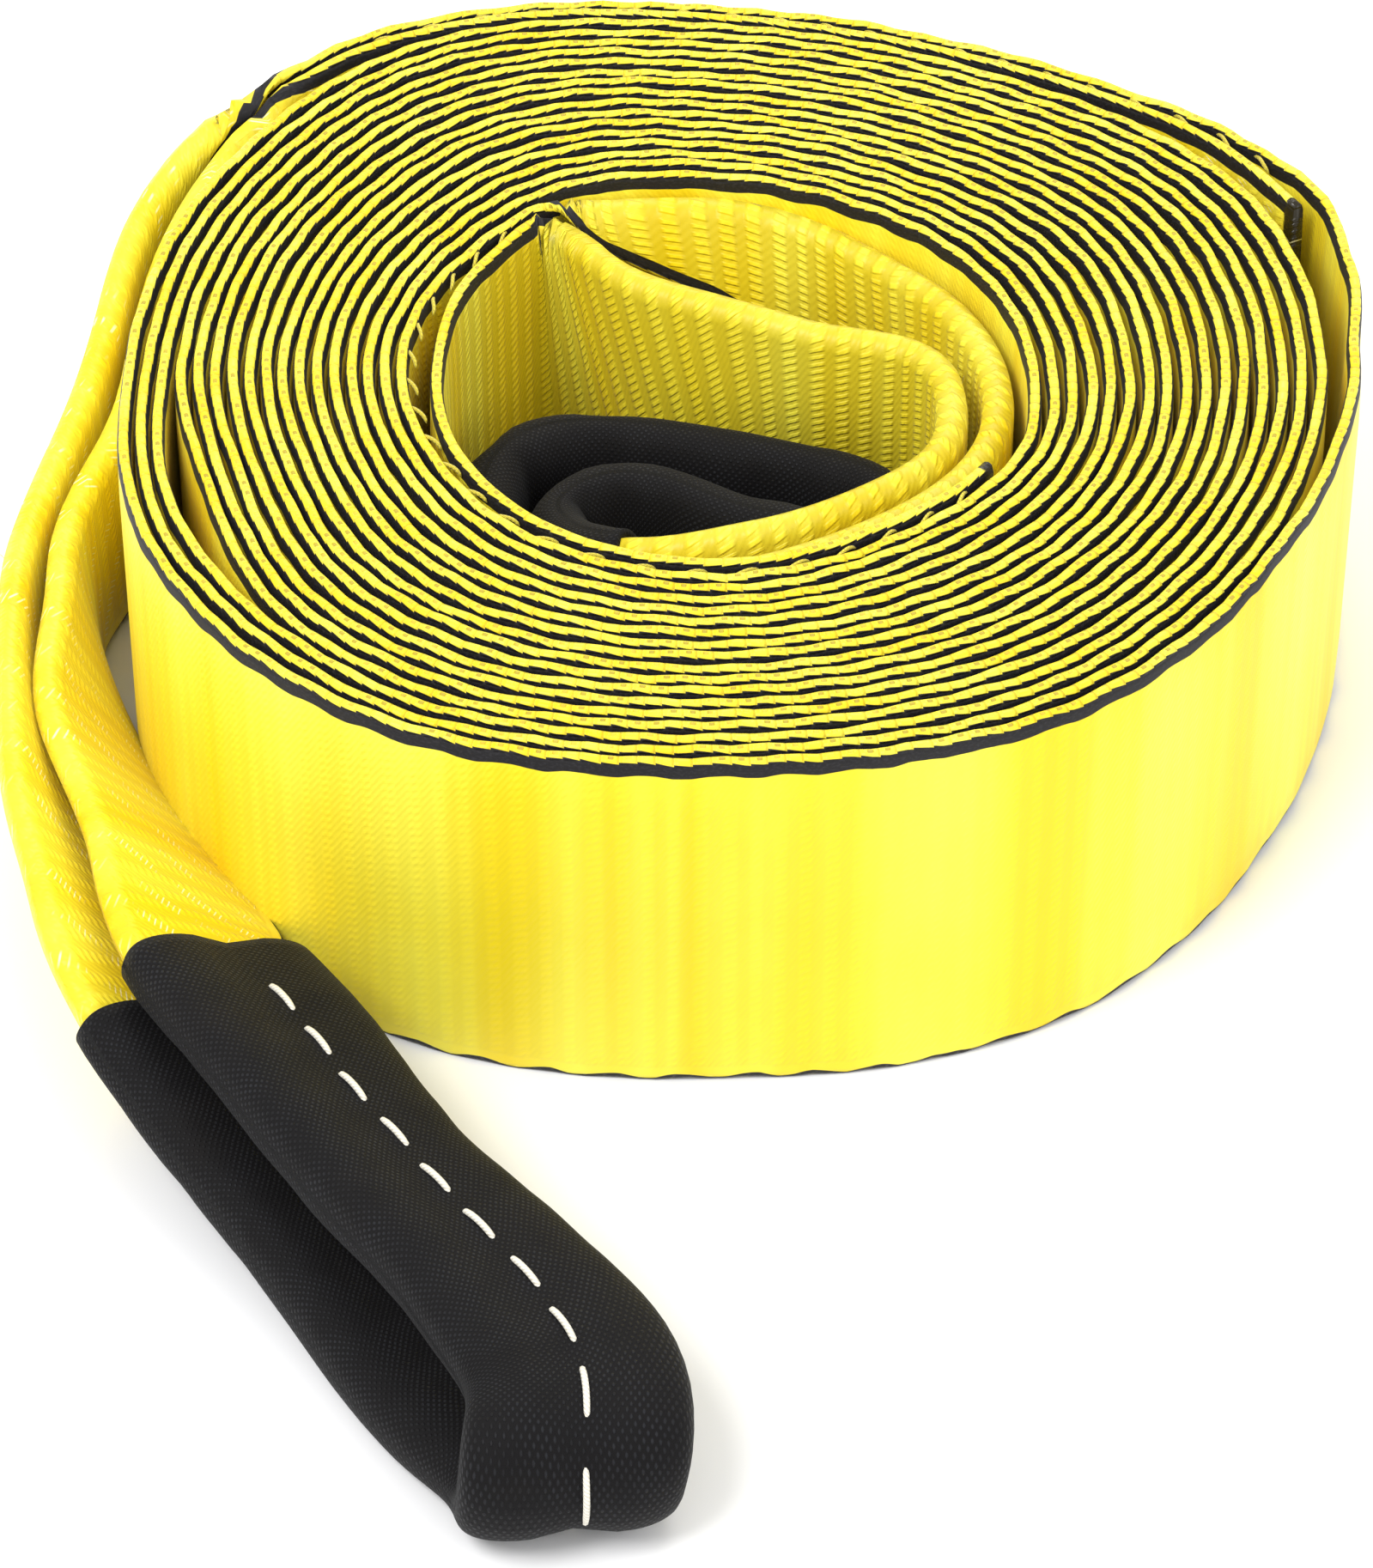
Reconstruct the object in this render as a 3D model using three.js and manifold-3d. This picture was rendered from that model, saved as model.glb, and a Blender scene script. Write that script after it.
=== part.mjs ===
// A two-inch webbing tow strap wound into a coil, with a sewn and sleeved eye at each end.
// Millimetres, +Z up. The coil lies on the webbing's lower edge, one eye beside it and one in its bore.
import * as THREE from "three";
import { mergeVertices } from "three/addons/utils/BufferGeometryUtils.js";
import Module from "manifold-3d";

const wasm = await Module();
wasm.setup();

// The webbing and what is sewn to it
const WEBBING_WIDTH = 50.8;
const WEBBING_THICKNESS = 2.2;
const EDGE_CHAMFER = 0.6; // the selvedge is a rounded bead
const FOLD_AIR = 0.4; // left between the two halves of a leg folded lengthwise
const SLEEVE_WALL = 0.9;
const SLEEVE_CLEARANCE = 0.35;

// The coil from above: angles run anticlockwise from +X, and the webbing winds inwards clockwise
const TURNS = 17;
const START_ANGLE = 130; // where the outer eye leaves the coil
const CORE_RADIUS = 39.5; // of the webbing where the inner eye leaves it
const LAY = 2.34; // from one turn to the next
const COIL_RADIUS = CORE_RADIUS + (TURNS - 1) * LAY;
const GROOVE_DEPTH = 1.7; // between the edges of two turns
const EDGE_LAND = 1; // flat width of a turn's edge
const STATIONS_PER_TURN = 32;

// How far the coil is from round, every 30 degrees from 0: its bore and its outside
const BORE_SHAPE = [-3.1, -4.5, -4.8, -3.0, 0.3, 0.1, 1.2, 2.2, 4.6, 4.7, 1.7, 0.5];
const OUTER_SHAPE = [-1.7, -0.6, -5.0, -3.1, 3.7, -0.3, -2.2, 2.6, 4.9, 1.5, 1.7, -1.4];

// The crescent where one turn stands away from the next: after which turn, where, how far round, how wide
const LOOSE_TURN = 3;
const LOOSE_ANGLE = 208;
const LOOSE_SPREAD = 26;
const LOOSE_OPENING = 3.7;

// The outermost turn rides over the outer eye's sewn tail: angle and lift, clockwise from its start
const OUTER_LIFT = [
  [START_ANGLE, 3.4],
  [115, 2.2],
  [75, 2.2],
  [50, 3.1],
  [35, 4.6],
  [24, 6.2],
  [14, 4.4],
  [0, 2],
  [-15, 0.6],
  [-30, 0],
];
const OUTER_GAP = [48, -20]; // angles between which it stands open

// The tails turned back along the strap on its inner face: angle and how far each stands off it
const TAIL_STEP = 7.5;
const TAIL_LAY = 2.3;
const OUTER_TAIL = [
  [START_ANGLE, 0],
  [50, 0],
  [23, 1.6],
];
const INNER_TAIL = [
  [324, 0],
  [285, 0.3],
  [215, 0.6],
  [180, 2.3],
  [150, 0.8],
  [START_ANGLE, 0],
];

// The outer eye from leg to leg: angle, distance beyond COIL_RADIUS, rise of its lowest edge,
// azimuth and elevation of its width, and how far it is folded lengthwise
const OUTER_EYE = [
  [141, 11.6, 0.4, 190, 90, 0.25],
  [150, 12.3, 0.4, 190, 90, 0.5],
  [160, 9.9, 0.4, 190, 90, 0.75],
  [170, 9.4, 0.4, 190, 90, 0.9],
  [180, 12, 0.4, 190, 90, 1],
  [193, 14.2, 0.6, 190, 84, 1],
  [208, 16.8, 1.8, 190, 60, 1],
  [214.5, 19.6, 2.4, 197, 52, 1],
  [220.4, 22.5, 2.3, 203, 45, 1],
  [226.5, 27.1, 2.3, 207, 38, 1],
  [230.3, 29.6, 2, 208, 32, 1],
  [243.7, 40.2, 1.6, 210, 15, 1],
  [254.1, 56.2, 1.5, 212, 0, 1],
  [258.8, 64.8, 1.5, 205, 0, 1],
  [261.15, 69.0, 1.7, 196, 0, 1],
  [262.6, 73.9, 1.9, 191, 0, 1],
  [263.15, 77.5, 3.6, 190, 0, 1],
  [263.37, 78.9, 7.3, 190, 0, 1],
  [263.45, 77.5, 11.0, 190, 0, 1],
  [263.4, 73.7, 12.6, 191, 0, 1],
  [262.8, 68.2, 12.8, 195, 2, 1],
  [260.6, 60.9, 12.7, 202, 4, 1],
  [257.1, 53.3, 12.4, 209, 8, 1],
  [253.2, 46.9, 12, 213, 12, 1],
  [235.9, 25.7, 11, 210, 22, 1],
  [231.2, 21.9, 9.2, 209, 26, 1],
  [222.3, 13.7, 4.5, 207, 40, 1],
  [215.4, 10.4, 3.2, 205, 46, 1],
  [204.2, 8.4, 2.4, 195, 53, 1],
  [191.8, 6.3, 0.6, 190, 75, 1],
  [180, 6.6, 0.4, 190, 90, 1],
  [170, 3.3, 0.4, 190, 90, 0.9],
  [160, 4.4, 0.4, 190, 90, 0.75],
  [150, 6.2, 0.4, 190, 90, 0.5],
  [141, 6.4, 0.4, 190, 90, 0.25],
];
const OUTER_SLEEVED = [10, 25]; // the rows at its sleeve's two mouths

// The inner eye, all on edge: x and y in shares of CORE_RADIUS, rise and fold
const INNER_EYE = [
  [-0.39, 0.85, 2.5, 0.15],
  [-0.15, 0.85, 8, 0.4],
  [0.215, 0.81, 14, 0.7],
  [0.53, 0.63, 19, 0.95],
  [0.745, 0.35, 21, 1],
  [0.855, 0, 21, 1],
  [0.77, -0.44, 21, 1],
  [0.44, -0.77, 21, 1],
  [0, -0.95, 20, 1],
  [-0.4, -0.86, 16, 1],
  [-0.66, -0.55, 12, 1],
  [-0.775, -0.21, 11, 1],
  [-0.64, 0.05, 11, 1],
  [-0.36, 0.1, 11, 1],
  [0, 0.02, 11, 1],
  [0.36, -0.1, 11, 1],
  [0.48, -0.18, 11, 1],
  [0.505, -0.29, 11, 1],
  [0.43, -0.385, 11, 1],
  [0.28, -0.39, 11, 1],
  [0, -0.3, 11, 1],
  [-0.23, -0.17, 11, 1],
  [-0.43, -0.18, 11, 1],
  [-0.545, -0.315, 11, 1],
  [-0.505, -0.465, 12, 1],
  [-0.415, -0.6, 14, 1],
  [-0.2, -0.73, 18, 1],
  [0.13, -0.72, 20, 1],
  [0.48, -0.555, 21, 1],
  [0.66, -0.37, 21, 1],
  [0.71, -0.1, 21, 1],
  [0.68, 0.06, 21, 1],
  [0.595, 0.165, 21, 1],
  [0.355, 0.24, 21, 1],
  [0.18, 0.3, 20, 0.95],
  [-0.025, 0.405, 16, 0.75],
  [-0.25, 0.545, 10, 0.5],
  [-0.43, 0.7, 4, 0.25],
];
const INNER_SLEEVED = [10, 26];

const STEPS_PER_ROW = 2;
const SLEEVE_CHAMFER = 1.6;

// A value from a ring of values at equal angles, on a smooth curve through them
function aroundRing(values, degrees) {
  const place = (THREE.MathUtils.euclideanModulo(degrees, 360) / 360) * values.length;
  const i = Math.floor(place);
  const t = place - i;
  const at = (k) => values[(k + values.length) % values.length];
  const [a, b, c, d] = [at(i - 1), at(i), at(i + 1), at(i + 2)];
  return b + 0.5 * t * (c - a + t * (2 * a - 5 * b + 4 * c - d + t * (3 * (b - c) + d - a)));
}

// A value between the knots of a list of [falling angle, value], with soft corners
function betweenKnots(knots, degrees) {
  const next = knots.findIndex(([angle]) => angle <= degrees);
  if (next === 0) return knots[0][1];
  if (next < 0) return knots[knots.length - 1][1];
  const [[high, before], [low, after]] = [knots[next - 1], knots[next]];
  return THREE.MathUtils.lerp(before, after, THREE.MathUtils.smoothstep(high - degrees, 0, high - low));
}

const angleAt = (turn) => START_ANGLE - 360 * turn;
const turnAt = (degrees) => (START_ANGLE - degrees) / 360;

// How wide the crescent is at an angle
function openingAt(degrees) {
  const away = Math.abs(THREE.MathUtils.euclideanModulo(degrees - LOOSE_ANGLE + 180, 360) - 180) / LOOSE_SPREAD;
  return away < 1 ? LOOSE_OPENING * Math.cos((away * Math.PI) / 2) ** 2 : 0;
}

// From one turn to the next at an angle
function layAt(degrees) {
  const shape = aroundRing(OUTER_SHAPE, degrees) - aroundRing(BORE_SHAPE, degrees);
  return (COIL_RADIUS - CORE_RADIUS + shape - openingAt(degrees)) / (TURNS - 1);
}

// Radius of the webbing's middle after so many turns, counted from the outer eye
function radiusAt(turn) {
  const degrees = angleAt(turn);
  const packed = CORE_RADIUS + aroundRing(BORE_SHAPE, degrees) + layAt(degrees) * (TURNS - turn);
  const opening = turn < LOOSE_TURN ? openingAt(degrees) : 0;
  return packed + opening + (turn < 1 ? betweenKnots(OUTER_LIFT, degrees) : 0);
}

function polar(degrees, radius, z) {
  const angle = THREE.MathUtils.degToRad(degrees);
  return new THREE.Vector3(radius * Math.cos(angle), radius * Math.sin(angle), z);
}

// A closed surface of [vectors] and [corner triples] as one solid
function solidOf(points, triangles) {
  const geometry = new THREE.BufferGeometry().setFromPoints(points);
  geometry.setIndex(triangles.flat());
  const merged = mergeVertices(geometry, 1e-4);
  const vertProperties = new Float32Array(merged.attributes.position.array);
  const triVerts = new Uint32Array(merged.index.array);
  return new wasm.Manifold(new wasm.Mesh({ numProp: 3, vertProperties, triVerts }));
}

function meshOf(solid, name, material) {
  const { vertProperties, triVerts } = solid.getMesh();
  const geometry = new THREE.BufferGeometry();
  geometry.setAttribute("position", new THREE.BufferAttribute(vertProperties, 3));
  geometry.setIndex(new THREE.BufferAttribute(triVerts, 1));
  geometry.computeVertexNormals();
  const mesh = new THREE.Mesh(geometry, material);
  mesh.name = name;
  return mesh;
}

// The pack of turns as one body. Valley line j lies outside turn place j and inside the place a turn before.
function coilBody() {
  const last = TURNS * STATIONS_PER_TURN;
  const points = [];
  const pair = (turn, radius, inset) =>
    [WEBBING_WIDTH - inset, inset].map((z) => points.push(polar(angleAt(turn), radius, z)) - 1);
  const valleys = [];
  for (let j = 0; j <= last + STATIONS_PER_TURN; j++) {
    const turn = j / STATIONS_PER_TURN;
    const before = turn - 1;
    if (turn < 1) valleys.push(pair(turn, radiusAt(turn) + WEBBING_THICKNESS / 2, EDGE_CHAMFER));
    else if (j > last) valleys.push(pair(before, radiusAt(before) - WEBBING_THICKNESS / 2, EDGE_CHAMFER));
    else valleys.push(pair(turn, (radiusAt(before) + radiusAt(turn)) / 2, GROOVE_DEPTH));
  }
  const lands = [];
  for (let i = 0; i <= last; i++) {
    const turn = i / STATIONS_PER_TURN;
    lands.push([1, -1].map((side) => pair(turn, radiusAt(turn) + (side * EDGE_LAND) / 2, 0)));
  }
  const triangles = [];
  const quad = (a, b, c, d) => triangles.push([a, b, c], [a, c, d]);
  // Top and bottom ribbons between two lines of point pairs, the outer line first
  const ribbons = (a, b, c, d) => {
    quad(a[0], d[0], c[0], b[0]);
    quad(a[1], b[1], c[1], d[1]);
  };
  for (let i = 0; i < last; i++) {
    const [outer, inner] = [valleys[i], valleys[i + STATIONS_PER_TURN]];
    const [outerNext, innerNext] = [valleys[i + 1], valleys[i + 1 + STATIONS_PER_TURN]];
    ribbons(outer, outerNext, lands[i + 1][0], lands[i][0]);
    ribbons(lands[i][0], lands[i + 1][0], lands[i + 1][1], lands[i][1]);
    ribbons(lands[i][1], lands[i + 1][1], innerNext, inner);
    if (i < STATIONS_PER_TURN) quad(outer[0], outerNext[0], outerNext[1], outer[1]);
    if (i >= last - STATIONS_PER_TURN) quad(inner[0], inner[1], innerNext[1], innerNext[0]);
  }
  // The webbing's section closes the body where the coil starts and where it ends
  const section = (i) => {
    const lines = [valleys[i], ...lands[i], valleys[i + STATIONS_PER_TURN]];
    return [...lines.map(([top]) => top), ...lines.map(([, bottom]) => bottom).reverse()];
  };
  const [first, end] = [section(0), section(last)];
  for (let k = 1; k < first.length - 1; k++) {
    triangles.push([first[0], first[k + 1], first[k]], [end[0], end[k], end[k + 1]]);
  }
  return solidOf(points, triangles);
}

// The open space between one turn and the next inwards, from one place along the webbing to another
function crescentBody(fromTurn, toTurn) {
  const steps = Math.ceil((toTurn - fromTurn) * 2 * STATIONS_PER_TURN);
  const rings = [];
  for (let k = 0; k <= steps; k++) {
    const turn = THREE.MathUtils.lerp(fromTurn, toTurn, k / steps);
    const outer = radiusAt(turn) - WEBBING_THICKNESS / 2;
    const inner = radiusAt(turn + 1) + WEBBING_THICKNESS / 2;
    const [low, high] = [-1, WEBBING_WIDTH + 1];
    const corners = [[outer, low], [outer, high], [inner, high], [inner, low]];
    rings.push(corners.map(([radius, z]) => polar(angleAt(turn), radius, z)));
  }
  return loft(rings);
}

// A solid through closed rings of points, each anticlockwise seen from the far end
function loft(rings) {
  const count = rings[0].length;
  const triangles = [];
  const at = (i, j) => i * count + (j % count);
  for (let i = 0; i < rings.length - 1; i++) {
    for (let j = 0; j < count; j++) {
      triangles.push([at(i, j), at(i, j + 1), at(i + 1, j + 1)], [at(i, j), at(i + 1, j + 1), at(i + 1, j)]);
    }
  }
  const end = rings.length - 1;
  for (let j = 1; j < count - 1; j++) {
    triangles.push([at(0, 0), at(0, j + 1), at(0, j)], [at(end, 0), at(end, j), at(end, j + 1)]);
  }
  return solidOf(rings.flat(), triangles);
}

// One place along a strip of webbing, from its height above the floor and the way its width points
function placeOf(flat, rise, azimuth, elevation, fold) {
  const width = WEBBING_WIDTH * (1 - fold / 2);
  const thickness = WEBBING_THICKNESS * (1 + fold) + FOLD_AIR * fold;
  const tilt = THREE.MathUtils.degToRad(elevation);
  const z = rise + (width / 2) * Math.sin(tilt) + (thickness / 2) * Math.cos(tilt);
  const across = polar(azimuth, Math.cos(tilt), Math.sin(tilt));
  return { centre: flat.clone().setZ(z), across, width, thickness };
}

const upright = (flat, rise = 0, fold = 0) => placeOf(flat, rise, 0, 90, fold);
const onTurn = (turn, inset) => upright(polar(angleAt(turn), radiusAt(turn) - inset, 0));

// The places of a tail, laid against the turn whose angles are those of the knots plus whole turns
function tailPlaces(knots, from, to, turns) {
  const count = Math.round(Math.abs(to - from) / TAIL_STEP);
  return Array.from({ length: count + 1 }, (_, k) => {
    const degrees = THREE.MathUtils.lerp(from, to, k / count);
    return onTurn(turnAt(degrees) + turns, TAIL_LAY + betweenKnots(knots, degrees));
  });
}

// A wall between two lofts with as many rings, open at both ends
function tube(outside, inside) {
  const count = outside[0].length;
  const [inner, end] = [outside.length * count, outside.length - 1];
  const triangles = [];
  const quad = (a, b, c, d) => triangles.push([a, b, c], [a, c, d]);
  const at = (i, j) => i * count + (j % count);
  for (let j = 0; j < count; j++) {
    for (let i = 0; i < end; i++) {
      quad(at(i, j), at(i, j + 1), at(i + 1, j + 1), at(i + 1, j));
      quad(inner + at(i, j), inner + at(i + 1, j), inner + at(i + 1, j + 1), inner + at(i, j + 1));
    }
    quad(at(0, j + 1), at(0, j), inner + at(0, j), inner + at(0, j + 1));
    quad(at(end, j), at(end, j + 1), inner + at(end, j + 1), inner + at(end, j));
  }
  return solidOf([...outside, ...inside].flat(), triangles);
}

// The sections along places from one row to another, grown on every side
function sectionsAlong(places, from, to, grow, chamfer) {
  const path = new THREE.CatmullRomCurve3(places.map((place) => place.centre));
  const last = places.length - 1;
  const count = Math.ceil((to - from) * STEPS_PER_ROW);
  const rings = [];
  for (let k = 0; k <= count; k++) {
    const row = THREE.MathUtils.lerp(from, to, k / count);
    const i = Math.min(Math.floor(row), last - 1);
    const [a, b, t] = [places[i], places[i + 1], row - i];
    const along = path.getTangent(row / last);
    const across = a.across.clone().lerp(b.across, t);
    across.addScaledVector(along, -across.dot(along)).normalize();
    const through = along.clone().cross(across);
    const halfWidth = THREE.MathUtils.lerp(a.width, b.width, t) / 2 + grow;
    const halfThick = THREE.MathUtils.lerp(a.thickness, b.thickness, t) / 2 + grow;
    const corners = [];
    for (const [u, v] of [[1, 1], [-1, 1], [-1, -1], [1, -1]]) {
      const cut = [[halfWidth, halfThick - chamfer], [halfWidth - chamfer, halfThick]];
      corners.push(...(u * v > 0 ? cut : cut.reverse()).map(([w, n]) => [u * w, v * n]));
    }
    const centre = path.getPoint(row / last);
    rings.push(corners.map(([w, n]) => centre.clone().addScaledVector(across, w).addScaledVector(through, n)));
  }
  return rings;
}

const outerEye = [
  onTurn(turnAt(START_ANGLE - 5), 0),
  onTurn(0, 0),
  ...OUTER_EYE.map(([degrees, off, ...rest]) => placeOf(polar(degrees, COIL_RADIUS + off, 0), ...rest)),
  ...tailPlaces(OUTER_TAIL, START_ANGLE, OUTER_TAIL.at(-1)[0], 0),
];
const innerEye = [
  onTurn(TURNS - turnAt(START_ANGLE - 5), 0),
  onTurn(TURNS, 0),
  ...INNER_EYE.map(([x, y, ...rest]) => upright(new THREE.Vector3(x, y, 0).multiplyScalar(CORE_RADIUS), ...rest)),
  ...tailPlaces(INNER_TAIL, START_ANGLE, INNER_TAIL[0][0], TURNS),
];
const ROWS_BEFORE = 2; // the places on the coil that come before an eye's own

const strip = (places) => loft(sectionsAlong(places, 0, places.length - 1, 0, EDGE_CHAMFER));

function sleeve(places, mouths) {
  const rows = mouths.map((row) => row + ROWS_BEFORE);
  return tube(
    sectionsAlong(places, ...rows, SLEEVE_CLEARANCE + SLEEVE_WALL, SLEEVE_CHAMFER),
    sectionsAlong(places, ...rows, SLEEVE_CLEARANCE, EDGE_CHAMFER),
  );
}

const looseSpan = 0.7 * LOOSE_SPREAD;
const strap = coilBody()
  .subtract(crescentBody(turnAt(OUTER_GAP[0]), turnAt(OUTER_GAP[1])))
  .subtract(
    crescentBody(LOOSE_TURN + turnAt(LOOSE_ANGLE + looseSpan), LOOSE_TURN + turnAt(LOOSE_ANGLE - looseSpan)),
  )
  .add(strip(outerEye))
  .add(strip(innerEye));

const yellow = new THREE.MeshStandardMaterial({ color: 0xf2d80c, roughness: 0.6 });
const black = new THREE.MeshStandardMaterial({ color: 0x1d1b1e, roughness: 0.8 });

const towStrap = new THREE.Group();
towStrap.name = "tow_strap";
towStrap.add(
  meshOf(strap, "webbing_strap", yellow),
  meshOf(sleeve(outerEye, OUTER_SLEEVED), "outer_eye_sleeve", black),
  meshOf(sleeve(innerEye, INNER_SLEEVED), "inner_eye_sleeve", black),
);
// The origin is on the floor under the middle of the whole
const middle = new THREE.Box3().setFromObject(towStrap).getCenter(new THREE.Vector3());
towStrap.position.set(-middle.x, -middle.y, 0);

export default towStrap;
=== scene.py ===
"""Dresses a coiled two-inch tow strap: its woven webbing, the sleeves of its two eyes and their stitching."""

import logging
import math
from collections.abc import Mapping, Sequence
from dataclasses import dataclass, field
from enum import Enum
from typing import Any

import bpy
import numpy as np
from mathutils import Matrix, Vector


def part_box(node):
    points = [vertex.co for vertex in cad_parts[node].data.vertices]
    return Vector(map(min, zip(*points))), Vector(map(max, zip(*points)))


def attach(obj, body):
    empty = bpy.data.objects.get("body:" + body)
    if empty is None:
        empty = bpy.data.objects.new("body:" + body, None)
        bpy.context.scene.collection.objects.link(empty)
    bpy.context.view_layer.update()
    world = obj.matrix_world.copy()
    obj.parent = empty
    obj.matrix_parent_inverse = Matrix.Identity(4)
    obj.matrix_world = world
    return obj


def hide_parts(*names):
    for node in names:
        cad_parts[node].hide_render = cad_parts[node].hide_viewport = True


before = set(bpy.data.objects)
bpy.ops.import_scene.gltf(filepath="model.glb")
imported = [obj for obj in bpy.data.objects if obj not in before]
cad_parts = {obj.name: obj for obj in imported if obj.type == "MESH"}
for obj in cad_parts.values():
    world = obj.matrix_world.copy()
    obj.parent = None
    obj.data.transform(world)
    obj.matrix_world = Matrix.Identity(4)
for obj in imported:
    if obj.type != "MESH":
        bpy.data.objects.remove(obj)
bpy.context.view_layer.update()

LOG = logging.getLogger("tow_strap")
MM = 0.001
TAU = 2 * math.pi
RGB = tuple[float, float, float]


# Shader graphs


class Graph:
    """The node tree of one material."""

    def __init__(self, name: str) -> None:
        """Makes an empty material called name."""
        self.material = bpy.data.materials.new(name)
        self.material.use_nodes = True
        self.tree = self.material.node_tree
        self.tree.nodes.clear()

    def node(
        self,
        kind: str,
        settings: Mapping[str, Any] | None = None,
        inputs: Mapping[str | int, Any] | None = None,
    ) -> bpy.types.Node:
        """Adds one node.

        Args:
            kind: the node's Blender type.
            settings: properties, set first.
            inputs: a value or a link for each named or numbered socket.

        Returns:
            The node.
        """
        made = self.tree.nodes.new(kind)
        for key, value in (settings or {}).items():
            setattr(made, key, value)
        for key, value in (inputs or {}).items():
            if isinstance(value, Signal):
                self.tree.links.new(value.socket, made.inputs[key])
            elif value is not None:
                made.inputs[key].default_value = value
        return made

    def maths(self, operation: str, *values: "Signal | float") -> "Signal":
        """One Math node on values."""
        made = self.node("ShaderNodeMath", {"operation": operation}, dict(enumerate(values)))
        return Signal(self, made.outputs[0])

    def along_and_across(self) -> tuple["Signal", "Signal"]:
        """Millimetres along a strip and across it, from its own layout."""
        layout = self.node("ShaderNodeUVMap", {"uv_map": Strip.LAYOUT})
        parts = self.node("ShaderNodeSeparateXYZ", inputs={0: Signal(self, layout.outputs[0])})
        return Signal(self, parts.outputs[0]) * 1000, Signal(self, parts.outputs[1]) * 1000

    def noise_at(self, place: "Signal", detail: float) -> "Signal":
        """Noise from 0 to 1 at a place, with cells one unit wide."""
        inputs = {"Vector": place, "Scale": 1.0, "Detail": detail}
        return Signal(self, self.node("ShaderNodeTexNoise", inputs=inputs).outputs["Fac"])

    def noise(self, scale: float, stretch: RGB = (1, 1, 1), detail: float = 2.0) -> "Signal":
        """Noise from 0 to 1 in the object's space, scale cells a millimetre before it is stretched."""
        place = self.node("ShaderNodeTexCoord").outputs["Object"]
        scaled = self.node(
            "ShaderNodeVectorMath",
            {"operation": "MULTIPLY"},
            {0: Signal(self, place), 1: [scale * 1000 / s for s in stretch]},
        )
        return self.noise_at(Signal(self, scaled.outputs[0]), detail)

    def noise_on_strip(self, along: float, across: float, detail: float = 2.0) -> "Signal":
        """Noise from 0 to 1 whose cells are that many millimetres long and wide on the strip."""
        u, v = self.along_and_across()
        place = self.node("ShaderNodeCombineXYZ", inputs={0: u / along, 1: v / across})
        return self.noise_at(Signal(self, place.outputs[0]), detail)

    def mix(self, share: "Signal | float", first: "RGB | Signal", second: "RGB | Signal") -> "Signal":
        """The colour first, turning to second as share goes from 0 to 1."""
        colours = [c if isinstance(c, Signal) else (*c, 1.0) for c in (first, second)]
        settings = {"data_type": "RGBA", "clamp_factor": True}
        made = self.node("ShaderNodeMix", settings, {0: share, 6: colours[0], 7: colours[1]})
        return Signal(self, made.outputs[2])

    def bump(self, height: "Signal", distance: float, strength: float = 1.0) -> "Signal":
        """The normal under a relief of height from 0 to 1, distance millimetres high."""
        made = self.node(
            "ShaderNodeBump", inputs={"Height": height, "Distance": distance * MM, "Strength": strength}
        )
        return Signal(self, made.outputs[0])

    def surface(self, inputs: Mapping[str, Any]) -> bpy.types.Material:
        """Ends the graph in a Principled shader and gives the material."""
        shader = self.node("ShaderNodeBsdfPrincipled", inputs=inputs)
        output = self.node("ShaderNodeOutputMaterial")
        self.tree.links.new(shader.outputs[0], output.inputs[0])
        return self.material


@dataclass(frozen=True)
class Signal:
    """A socket's output that sums, products and comparisons can be written with."""

    graph: Graph
    socket: bpy.types.NodeSocket

    def __add__(self, other: "Signal | float") -> "Signal":
        """Sum."""
        return self.graph.maths("ADD", self, other)

    def __sub__(self, other: "Signal | float") -> "Signal":
        """Difference."""
        return self.graph.maths("SUBTRACT", self, other)

    def __rsub__(self, other: float) -> "Signal":
        """Difference from a number."""
        return self.graph.maths("SUBTRACT", other, self)

    def __mul__(self, other: "Signal | float") -> "Signal":
        """Product."""
        return self.graph.maths("MULTIPLY", self, other)

    def __truediv__(self, other: "Signal | float") -> "Signal":
        """Quotient."""
        return self.graph.maths("DIVIDE", self, other)

    __radd__ = __add__
    __rmul__ = __mul__

    def size(self) -> "Signal":
        """Absolute value."""
        return self.graph.maths("ABSOLUTE", self)

    def wave(self) -> "Signal":
        """A sine wave from 0 to 1 with one crest in each unit."""
        return self.graph.maths("SINE", self * TAU) * 0.5 + 0.5

    def part(self) -> "Signal":
        """The part after the point, a saw tooth from 0 to 1."""
        return self.graph.maths("FRACT", self)

    def least(self, other: "Signal | float") -> "Signal":
        """The smaller of two."""
        return self.graph.maths("MINIMUM", self, other)

    def most(self, other: "Signal | float") -> "Signal":
        """The larger of two."""
        return self.graph.maths("MAXIMUM", self, other)

    def step(self, low: "Signal | float", high: "Signal | float") -> "Signal":
        """0 below low and 1 above high, with a smooth rise between them."""
        settings = {"interpolation_type": "SMOOTHSTEP"}
        made = self.graph.node("ShaderNodeMapRange", settings, {0: self, 1: low, 2: high, 3: 0.0, 4: 1.0})
        return Signal(self.graph, made.outputs[0])


# Finishes


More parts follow.
